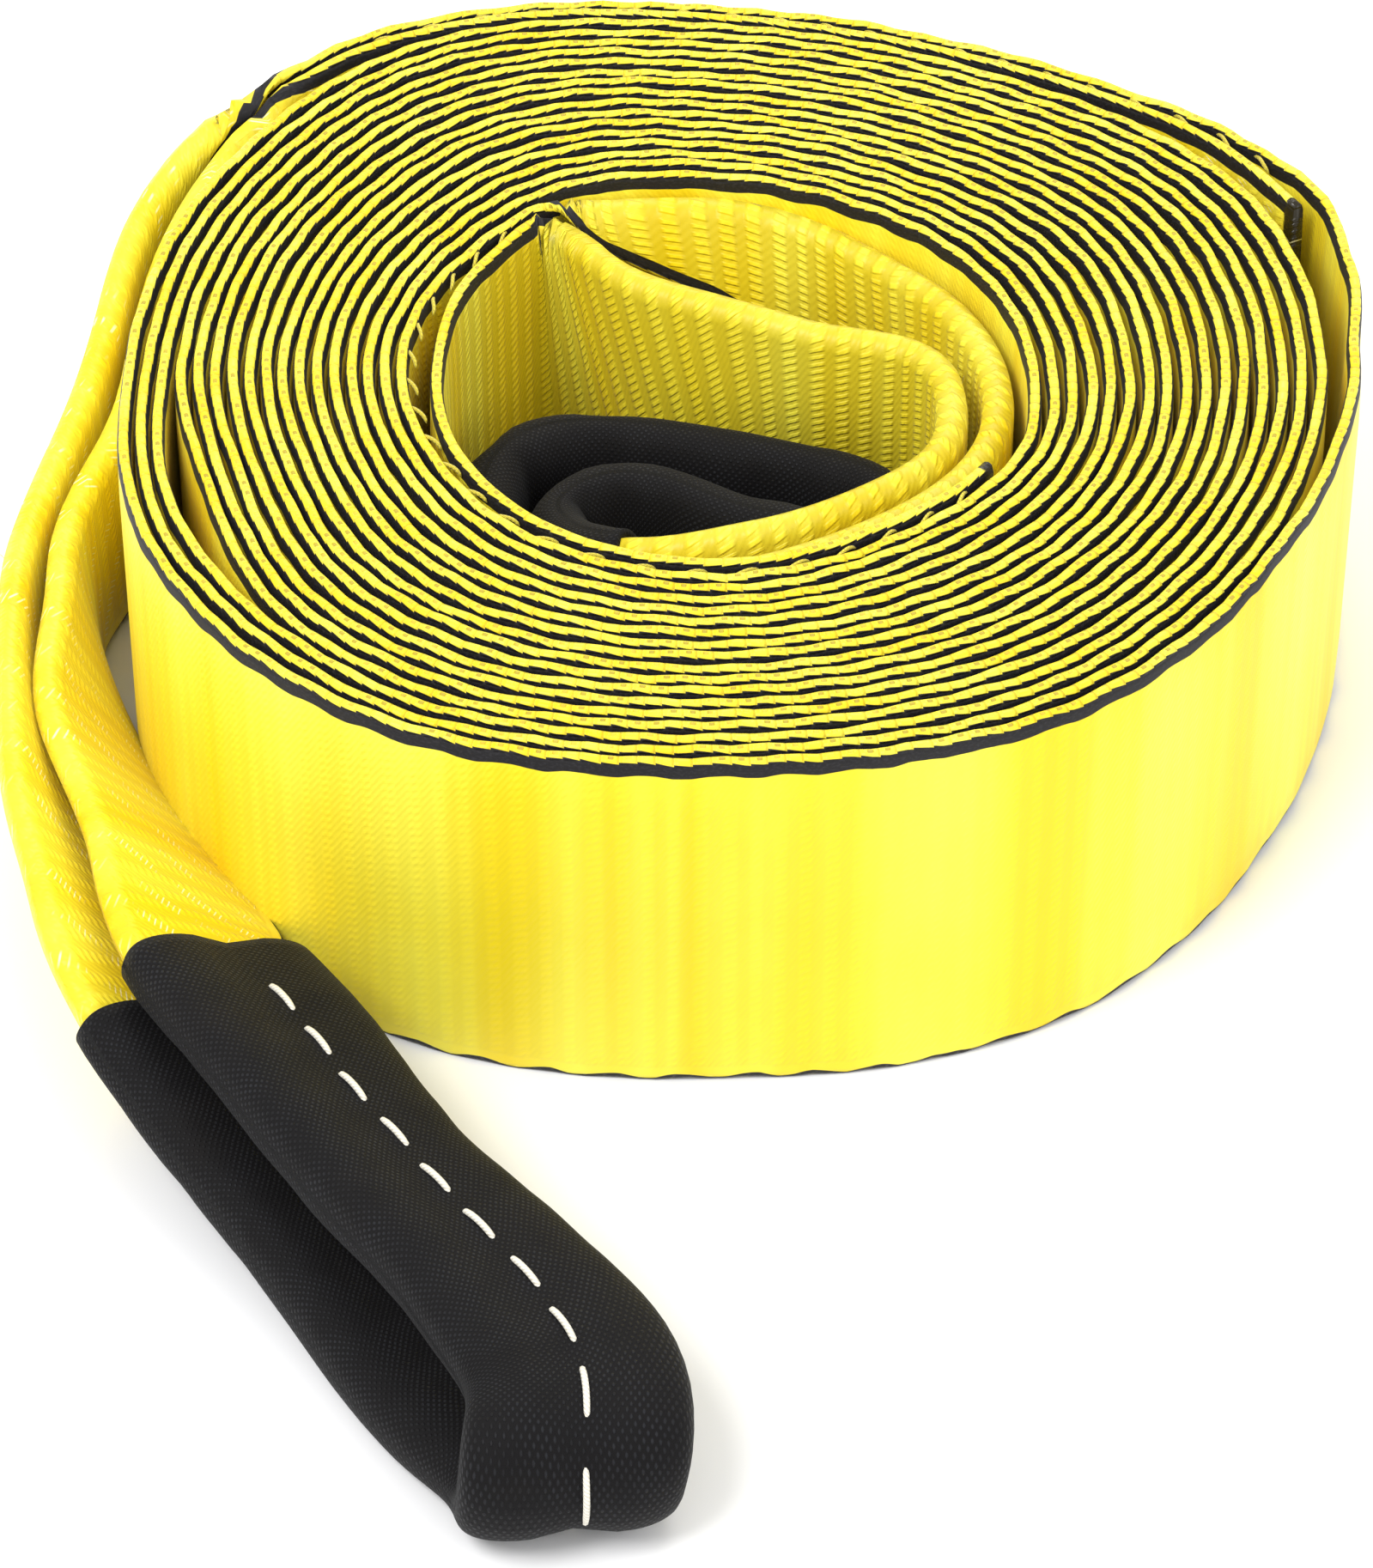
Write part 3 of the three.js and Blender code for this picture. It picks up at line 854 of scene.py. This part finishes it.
@dataclass
class WebbingStrap:
    """The whole strap as one strip: outer tail and eye, coil, inner eye and tail."""

    coil: Coil = field(default_factory=Coil)
    webbing: Webbing = field(default_factory=Webbing)
    outer: OuterEye = field(default_factory=OuterEye)
    inner: InnerEye = field(default_factory=InnerEye)
    finish: WebbingFinish = field(default_factory=WebbingFinish)
    coil_step: float = 2.1
    eye_step: float = 1.7
    tail_lay: float = 2.3
    tail_step: float = 7.5

    def on_coil(self, turn: np.ndarray, inset: np.ndarray | float = 0.0) -> np.ndarray:
        """The strap's middle line on the coil."""
        centre = polar(self.coil.angle(turn), self.coil.radius(turn) - inset)
        centre[..., 2] = self.webbing.width / 2
        return centre

    def wound(self) -> Strip:
        """The strip of the coil, evenly stepped."""
        turn = np.linspace(0, self.coil.turns, 6000)
        line = self.on_coil(turn)
        run = length_so_far(line)
        even = np.interp(np.linspace(0, run[-1], int(run[-1] / self.coil_step)), run, turn)
        count = len(even)
        up = np.tile([0.0, 0.0, 1.0], (count, 1))
        return Strip(self.on_coil(even), up, np.zeros(count), np.zeros(count), np.ones(count), np.ones(count))

    def eye(self, eye: OuterEye | InnerEye, start: float, end_angle: float, turns: float) -> Strip:
        """The strip of one eye and its tail, from the coil outwards.

        Args:
            eye: its rows.
            start: turns at which it leaves the coil.
            end_angle: where its tail ends.
            turns: whole turns to add for the turn that its tail lies on.

        Returns:
            The strip; its first place is on the coil at the start.
        """
        away = -1 if start < 1 else 1
        lead = self.on_coil(start - away * np.array([0.03, 0.015, 0.0]))
        count = int(round(abs(end_angle - self.coil.start_angle) / self.tail_step)) + 1
        degrees = np.linspace(self.coil.start_angle, end_angle, count)
        gaps = eased(eye.tail_angles, eye.tail_gaps, degrees)
        tail = self.on_coil(self.coil.turn(degrees) + turns, self.tail_lay + gaps)
        centre, across, fold = eye.places(self.coil, self.webbing)
        up = np.array([[0.0, 0.0, 1.0]])
        line = np.concatenate([lead, centre, tail])
        wide = np.concatenate([up.repeat(3, 0), across, up.repeat(count, 0)])
        folds = np.concatenate([np.zeros(3), fold, np.zeros(count)])
        knots = length_so_far(line)
        at = np.linspace(knots[2], knots[-1], int((knots[-1] - knots[2]) / self.eye_step))
        dense = spline(knots, at, line)
        blended = np.stack([np.interp(at, knots, wide[:, k]) for k in range(3)], 1)
        return Strip(
            dense,
            self.eased_out(blended),
            self.eased_out(np.interp(at, knots, folds)[:, None])[:, 0],
            np.zeros(len(at)),
            np.zeros(len(at)),
            self.squeezed(at, knots[3 + eye.mouths[0]], knots[3 + eye.mouths[1]], eye.squeeze),
        )

    @staticmethod
    def squeezed(at: np.ndarray, first: float, second: float, amount: float) -> np.ndarray:
        """The share of its width that the folded strap keeps where a sleeve from first to second holds it."""
        share = np.clip((at - first) / (second - first), -0.08, 1.08)
        held = smooth((share + 0.08) / 0.08) * smooth((1.08 - share) / 0.08)
        return 1 - held * (0.08 + amount * np.sin(TAU * np.clip(share, 0, 1)) ** 2)

    @staticmethod
    def eased_out(values: np.ndarray, reach: int = 3) -> np.ndarray:
        """Each column averaged over its neighbours."""
        padded = np.pad(values, ((reach, reach), (0, 0)), mode="edge")
        window = np.ones(2 * reach + 1) / (2 * reach + 1)
        return np.stack([np.convolve(padded[:, k], window, "valid") for k in range(values.shape[1])], 1)

    def eyes(self) -> tuple[Strip, Strip]:
        """The outer and the inner eye's strips."""
        outer = self.eye(self.outer, 0, self.outer.tail_angles[-1], 0)
        inner = self.eye(self.inner, self.coil.turns, self.inner.tail_angles[0], self.coil.turns)
        # The hem of the inner eye stands a little open until it lies flat
        inner.opening = 0.35 * (1 - smooth((inner.fold - 0.5) / 0.5))
        return outer, inner

    def strip(self) -> Strip:
        """The whole strap from the outer tail's end to the inner tail's end."""
        outer, inner = self.eyes()
        return Strip.joined([outer.piece(1, None).reversed(), self.wound(), inner.piece(1, None)])

    def rings(self, strip: Strip) -> tuple[np.ndarray, np.ndarray, np.ndarray]:
        """The strap's surface points, and their length along and distance across."""
        section, across = self.webbing.section(strip)
        run = strip.run
        near_edge = smooth((np.abs(across) - 15) / 9)
        sway = soft_noise(run / 8.2, 3)
        rise = np.sin(run / 8.2 * TAU + soft_noise(run / 30, 5) * 2.5) * 0.16 + soft_noise(run / 13, 7) * 0.14
        ease = strip.ripple[:, None] * 0.75 + 0.25
        section = section.copy()
        section[..., 0] += np.sign(across) * near_edge * (rise[:, None] - 0.15) * ease
        section[..., 1] += near_edge * sway[:, None] * 0.17 * ease
        section[..., 0] *= strip.squeeze[:, None]
        along = np.broadcast_to(run[:, None], across.shape)
        return strip.place(section), along, across

    def build(self, maker: MeshMaker) -> bpy.types.Object:
        """Makes and dresses the strap."""
        strip = self.strip()
        rings, along, across = self.rings(strip)
        made = maker.loft("webbing_strap_woven", rings, along, across)
        dress(made, self.finish.material(float(strip.run[-1])))
        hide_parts("webbing_strap")
        LOG.info("strap: %d places, %.2f m long", len(strip.centre), strip.run[-1] / 1000)
        return made

    def flat_length(self) -> float:
        """The strap's cut length in millimetres."""
        return float(self.strip().run[-1])


class Side(Enum):
    """The face of a sleeve that a row of stitches shows on."""

    OUTER = 1
    INNER = -1


@dataclass
class Sleeve:
    """Black cloth wrapped round a folded eye and closed by one row of running stitches, in millimetres."""

    name: str
    node: str
    flat_length: float
    flat_width: float = 62
    wall: float = 0.9
    clearance: float = 0.35
    half_band: float = 12.7
    half_thick: float = 2.4
    seam: float = -0.8
    pleat: float = 0.16
    lap: float = 0.35
    groove: float = 0.75
    groove_width: float = 1.7
    around: int = 64
    stitch: float = 6.3
    gap: float = 2.5
    thread: float = 0.4
    finish: SleeveFinish = field(default_factory=SleeveFinish)
    thread_finish: ThreadFinish = field(
        default_factory=lambda: ThreadFinish("white_thread", (0.86, 0.82, 0.7), (0.45, 0.4, 0.3))
    )

    @staticmethod
    def bulge(squeeze: np.ndarray) -> np.ndarray:
        """How much thicker the folded webbing is where it is squeezed narrower."""
        return 1 + (1 - squeeze) * 0.9

    def profile(
        self, grow: float, run: np.ndarray, squeeze: np.ndarray, relief: float
    ) -> tuple[np.ndarray, np.ndarray]:
        """A round-edged flat section at each place.

        Args:
            grow: how far it stands off the folded webbing.
            run: length along the sleeve at each place.
            squeeze: the share of its width that it keeps at each place.
            relief: how much of the groove and the puckers it has.

        Returns:
            Points as (places, around, 2), and the distance round the section.
        """
        w, t = self.half_band + grow, self.half_thick + grow
        turn = np.linspace(0, TAU, self.around, endpoint=False)
        c, s = np.cos(turn), np.sin(turn)
        flat = 0.42
        x = w * np.sign(c) * np.abs(c) ** flat
        y = t * np.sign(s) * np.abs(s) ** (flat + 0.38)
        x, y = x * squeeze[:, None], y * self.bulge(squeeze[:, None])
        t = np.abs(y).max(1, keepdims=True)
        side = np.sign(y) * smooth(np.abs(y) / t * 1.4)
        from_seam = np.abs(x - self.seam)
        pull = 0.75 + 0.25 * np.cos(run / (self.stitch + self.gap) * TAU)[:, None]
        dip = np.exp(-((from_seam / self.groove_width) ** 2)) * self.groove * pull
        crown = np.exp(-(((x - self.seam + 6.5) / 4.5) ** 2)) * 0.35
        crown = crown + np.exp(-(((x - self.seam - 7) / 5.0) ** 2)) * 0.45
        bend = x / 5.0 + soft_noise(run / 16, 13)[:, None] * 2
        wrinkle = soft_noise(run / 4.5, 11)[:, None] * np.cos(bend) * self.pleat
        edge = smooth((self.seam + 1.2 - x) / 1.2) * self.lap
        y = y + side * (crown - dip + wrinkle + edge) * relief
        x = x + soft_noise(run / 11, 17)[:, None] * 0.2 * relief
        round_it = np.concatenate([[0], np.cumsum(np.hypot(np.diff(x[0]), np.diff(y[0])))])
        return np.stack([x, y], -1), np.tile(round_it, (len(run), 1))

    def build(self, maker: MeshMaker, strip: Strip, low: int, high: int) -> list[bpy.types.Object]:
        """Makes the sleeve and its stitches.

        Args:
            maker: makes the meshes.
            strip: the eye's strip.
            low: the place of its first mouth.
            high: the place of its second mouth.

        Returns:
            The sleeve and the stitches.
        """
        held = strip.piece(low, high)
        run = held.run
        outside, around = self.profile(self.clearance + self.wall, run, held.squeeze, 1.0)
        inside, _ = self.profile(self.clearance, run, held.squeeze, 0.0)
        skin, lining = held.place(outside), held.place(inside)
        # Where the cloth lies on the floor it is flat
        skin[..., 2], lining[..., 2] = np.maximum(skin[..., 2], 0.1), np.maximum(lining[..., 2], 0.5)
        # The skin turns in at each mouth and comes back as the lining
        rings = np.concatenate([skin, lining[::-1]])
        along = np.concatenate([run, run[::-1]])
        sleeve = maker.loft(self.name, rings, along, np.concatenate([around, around]), capped=False)
        dress(sleeve, self.finish.material())
        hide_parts(self.node)
        stitches = self.stitches(maker, held)
        flat = (self.flat_width * MM, self.flat_length * MM)
        LOG.info("%s: %.0f mm long", self.name, run[-1])
        return [sleeve, stitches]

    def stitches(self, maker: MeshMaker, held: Strip) -> bpy.types.Object:
        """The running stitches on both faces of the sleeve."""
        run = held.run
        _, across, through = held.frames()
        pitch = self.stitch + self.gap
        lines = []
        for side in Side:
            offset = 0.0 if side is Side.OUTER else pitch / 2
            for k in range(int((run[-1] - 3 - offset) / pitch)):
                start = 1.5 + offset + k * pitch
                at = np.linspace(start, start + self.stitch, 9)
                centre = np.stack([np.interp(at, run, held.centre[:, a]) for a in range(3)], 1)
                wide = np.stack([np.interp(at, run, across[:, a]) for a in range(3)], 1)
                deep = np.stack([np.interp(at, run, through[:, a]) for a in range(3)], 1)
                bow = np.sin(np.linspace(0, math.pi, 9)) ** 0.35
                thick = self.half_thick + self.clearance + self.wall
                height = thick * self.bulge(np.interp(at, run, held.squeeze)) - self.groove - 0.1 + bow * 1.05
                sway = self.seam + 0.2 * math.sin(k * 2.3) + np.linspace(-0.15, 0.15, 9)
                line = centre + wide * sway[:, None] + deep * (side.value * height)[:, None]
                line[:, 2] = np.maximum(line[:, 2], self.thread + 0.1)
                lines.append(line)
        made = maker.threads(self.name + "_stitches", lines, self.thread)
        dress(made, self.thread_finish.material())
        return made


@dataclass
class TailSewing:
    """The zigzag sewing that joins a tail to the strap, seen between their upper edges, in millimetres."""

    name: str
    from_angle: float
    to_angle: float
    turns: float
    pitch: float = 6.4
    depth: float = 1.5
    thread: float = 0.26
    finish: ThreadFinish = field(
        default_factory=lambda: ThreadFinish("yellow_thread", (0.75, 0.62, 0.03), (0.2, 0.15, 0.02))
    )

    def build(self, maker: MeshMaker, strap: WebbingStrap) -> bpy.types.Object:
        """Makes the loops of sewing thread between strap and tail."""
        coil, webbing = strap.coil, strap.webbing
        middle = float(coil.radius(coil.turn((self.from_angle + self.to_angle) / 2) + self.turns))
        step = math.degrees(self.pitch / middle)
        count = int(abs(self.to_angle - self.from_angle) / step)
        step = math.copysign(step, self.to_angle - self.from_angle)
        lines = []
        for k in range(count):
            start = self.from_angle + step * k
            t = np.linspace(0, 1, 12)
            degrees = start + step * 0.62 * t
            radius = coil.radius(coil.turn(degrees) + self.turns) - strap.tail_lay / 2
            line = polar(degrees, radius + 0.6 * np.cos(t * math.pi))
            line[:, 2] = webbing.width - self.depth + 0.7 * np.sin(t * math.pi) ** 0.7
            lines.append(line)
        made = maker.threads(self.name, lines, self.thread, 6)
        dress(made, self.finish.material())
        return made


@dataclass(frozen=True)
class StrayFibres:
    """Loose fibres that stand off the webbing: share of the way along an eye, distance off it and length."""

    name: str
    fibres: tuple[tuple[float, float, float], ...]
    radius: float = 0.06
    finish: ThreadFinish = ThreadFinish("loose_fibre", (0.72, 0.66, 0.35), (0.4, 0.35, 0.15))

    def build(self, maker: MeshMaker, strip: Strip) -> bpy.types.Object:
        """Makes the fibres on a strip."""
        _, across, through = strip.frames()
        random = np.random.default_rng(21)
        lines = []
        for share, off, length in self.fibres:
            i = int(share * (len(strip.centre) - 1))
            t = np.linspace(0, 1, 16)[:, None]
            way = unit(random.normal(size=3) + 1.2 * np.sign(off) * through[i] + across[i])
            curl = unit(np.cross(way, random.normal(size=3)))
            root = through[i] * (off - np.sign(off) * 0.8) + across[i] * random.uniform(-6, 6)
            start = strip.centre[i] + root
            bend = 0.35 * np.sin(t * 3.4 + random.uniform(-0.5, 0.5))
            line = start + (way * t + curl * bend) * length
            line[:, 2] = np.maximum(line[:, 2], self.radius + 0.1)
            lines.append(line)
        made = maker.threads(self.name, lines, self.radius, 5)
        dress(made, self.finish.material())
        return made


@dataclass(frozen=True)
class Studio:
    """Camera, lights and floor. The camera's place is in the coil's own millimetres."""

    camera: tuple[float, float, float] = (-5.3, -609.2, 501.3)
    pitch: float = 40.62
    focal_pixels: float = 7001
    long_side: float = 1826
    floor: FloorFinish = field(default_factory=FloorFinish)

    def aim(self, shift: np.ndarray) -> None:
        """Sets up the camera at the photograph's place."""
        data = bpy.data.cameras.new("camera")
        data.sensor_width = 36.0
        data.lens = self.focal_pixels / self.long_side * data.sensor_width
        data.clip_end = 50.0
        camera = bpy.data.objects.new("camera", data)
        camera.location = (np.array(self.camera) + shift) * MM
        camera.rotation_euler = (math.radians(90 - self.pitch), 0, 0)
        bpy.context.scene.collection.objects.link(camera)
        bpy.context.scene.camera = camera

    def light(
        self, name: str, place: Sequence[float], size: float, watts: float, target: Sequence[float]
    ) -> None:
        """Adds one soft box, in metres, that faces target."""
        data = bpy.data.lights.new(name, "AREA")
        data.shape, data.size, data.energy = "DISK", size, watts
        lamp = bpy.data.objects.new(name, data)
        lamp.location = place
        aim = Vector(target) - Vector(place)
        lamp.rotation_euler = aim.to_track_quat("-Z", "Y").to_euler()
        bpy.context.scene.collection.objects.link(lamp)

    def build(self, maker: MeshMaker) -> None:
        """Makes the floor and the lights."""
        corners = np.array([[-1, -1], [1, -1], [1, 1], [-1, 1]]) * 4000.0
        rings = np.stack([np.column_stack([corners, np.full(4, z)]) for z in (-20.0, -0.02)])
        floor = maker.loft("floor", rings, np.arange(2.0), np.zeros((2, 4)))
        floor.data.polygons.foreach_set("use_smooth", np.zeros(len(floor.data.polygons), bool))
        floor.data.materials.append(self.floor.material())
        world = bpy.data.worlds.new("studio")
        world.use_nodes = True
        world.node_tree.nodes["Background"].inputs[0].default_value = (1, 1, 1, 1)
        world.node_tree.nodes["Background"].inputs[1].default_value = 0.86
        bpy.context.scene.world = world
        middle = (0.0, 0.02, 0.03)
        self.light("key", (-0.55, -0.5, 1.1), 0.6, 11, middle)
        self.light("fill", (0.9, -0.6, 0.7), 0.8, 4, middle)
        self.light("back", (0.1, 0.9, 0.9), 0.8, 5.5, middle)
        bpy.context.scene.view_settings.view_transform = "Standard"


def frame_shift(strap: WebbingStrap) -> np.ndarray:
    """The way from the coil's own millimetres to the frame: the right and back of the strap's box agree."""
    low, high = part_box("webbing_strap")
    turn = np.linspace(0, 1, 721)
    reach = strap.on_coil(turn)[:, :2].max(0) + strap.webbing.body / 2
    return np.array([high.x / MM - reach[0], high.y / MM - reach[1], 0.0])


def main() -> None:
    """Builds the scene."""
    logging.basicConfig(level=logging.INFO)
    strap = WebbingStrap()
    shift = frame_shift(strap)
    LOG.info("shift %s", shift)
    studio = Studio()
    studio.aim(shift)
    maker = MeshMaker(shift)
    webbing = strap.build(maker)
    outer_eye, inner_eye = strap.eyes()
    sewing = [
        TailSewing("outer_tail_sewing", 124, 27, 0).build(maker, strap),
        TailSewing("inner_tail_sewing", 136, 320, strap.coil.turns).build(maker, strap),
    ]
    outer_fibres = ((0.1, 2.9, 6), (0.13, 3, 8), (0.2, 3, 5), (0.83, 3, 7), (0.86, 3, 5), (0.8, -3, 6))
    inner_fibres = ((0.55, 3.2, 4), (0.66, 2.8, 5), (0.93, 1.4, 3), (0.97, 1.4, 4))
    sewing.append(StrayFibres("outer_eye_fibres", outer_fibres).build(maker, outer_eye))
    sewing.append(StrayFibres("inner_eye_fibres", inner_fibres).build(maker, inner_eye))
    flat = (strap.webbing.width * MM, strap.flat_length() * MM)
    for name, node, eye, rows, pleat in (
        ("outer_eye_sleeve_cloth", "outer_eye_sleeve", outer_eye, strap.outer, 0.16),
        ("inner_eye_sleeve_cloth", "inner_eye_sleeve", inner_eye, strap.inner, 0.55),
    ):
        ends = [rows.places(strap.coil, strap.webbing)[0][row] for row in rows.mouths]
        low, high = (int(np.argmin(np.linalg.norm(eye.centre - end, axis=1))) for end in ends)
        length = float(eye.run[high] - eye.run[low])
        Sleeve(name, node, length, pleat=pleat).build(maker, eye, low, high)
    studio.build(maker)


if __name__ == "__main__":
    main()
